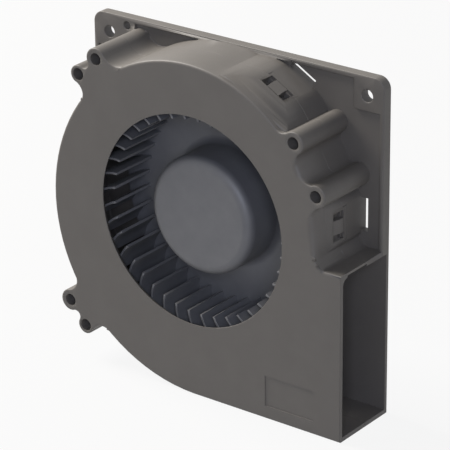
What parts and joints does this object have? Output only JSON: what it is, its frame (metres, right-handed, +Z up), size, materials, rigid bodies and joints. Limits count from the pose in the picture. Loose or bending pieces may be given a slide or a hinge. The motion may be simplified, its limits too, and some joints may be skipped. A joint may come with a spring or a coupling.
{
  "type": "centrifugal blower",
  "caption": "Square-framed centrifugal blower with snail-shell housing, bladed drum wheel and outer-rotor motor; air enters the round front inlet and leaves a side outlet.",
  "frame": {"origin": "middle of the frame's lower edge, at half of the thickness", "axes": "+X towards the outlet, +Y from the inlet face to the mounting face, +Z up"},
  "size_m": [0.12, 0.028, 0.12],
  "materials": {
    "housing_plastic": "moulded, fine matte grain",
    "wheel_plastic": "moulded, satin",
    "steel": "satin",
    "polished_steel": "polished",
    "brass": "turned",
    "copper": "enamelled wire",
    "lamination": "stamped electrical steel",
    "nylon": "moulded, natural",
    "magnet": "bonded ferrite",
    "board": "solder resist",
    "chip": "moulded epoxy",
    "tantalum": "moulded epoxy",
    "tin": "tinned",
    "label": "plain polyester film"
  },
  "bodies": {
    "housing": {"rear_housing": "housing_plastic", "front_cover": "housing_plastic", "bearing_tube": "brass", "front_bearing_outer_ring": "steel", "rear_bearing_outer_ring": "steel", "front_bearing_shields": "steel", "rear_bearing_shields": "steel", "stator_core": "lamination", "front_insulator": "nylon", "rear_insulator": "nylon", "coil_right": "copper", "coil_top": "copper", "coil_left": "copper", "coil_bottom": "copper", "terminal_pins": "tin", "circuit_board": "board", "hall_sensor": "chip", "driver_chip": "chip", "smoothing_capacitor": "tantalum", "chip_resistors": "chip", "rear_label": "label"},
    "rotor": {"impeller": "wheel_plastic", "rotor_yoke": "steel", "magnet_ring": "magnet", "shaft": "polished_steel", "shaft_bush": "brass", "front_bearing_inner_ring": "steel", "rear_bearing_inner_ring": "steel", "preload_spring": "steel", "thrust_washer": "steel", "retaining_clip": "steel"},
    "front_ball_set": {"front_bearing_balls": "polished_steel", "front_bearing_cage": "brass"},
    "rear_ball_set": {"rear_bearing_balls": "polished_steel", "rear_bearing_cage": "brass"}
  },
  "joints": [
    {"name": "rotor_spin", "type": "hinge", "parent": "housing", "child": "rotor", "pos_m": [-0.00073, 0, 0.0641], "axis": [0, -1, 0], "continuous": true},
    {"name": "front_balls_orbit", "type": "hinge", "parent": "housing", "child": "front_ball_set", "pos_m": [-0.00073, 0, 0.0641], "axis": [0, -1, 0], "continuous": true},
    {"name": "rear_balls_orbit", "type": "hinge", "parent": "housing", "child": "rear_ball_set", "pos_m": [-0.00073, 0, 0.0641], "axis": [0, -1, 0], "continuous": true}
  ],
  "couplings": [
    {"joint": "front_balls_orbit", "follows": "rotor_spin", "ratio": 0.35564},
    {"joint": "rear_balls_orbit", "follows": "rotor_spin", "ratio": 0.35564}
  ]
}
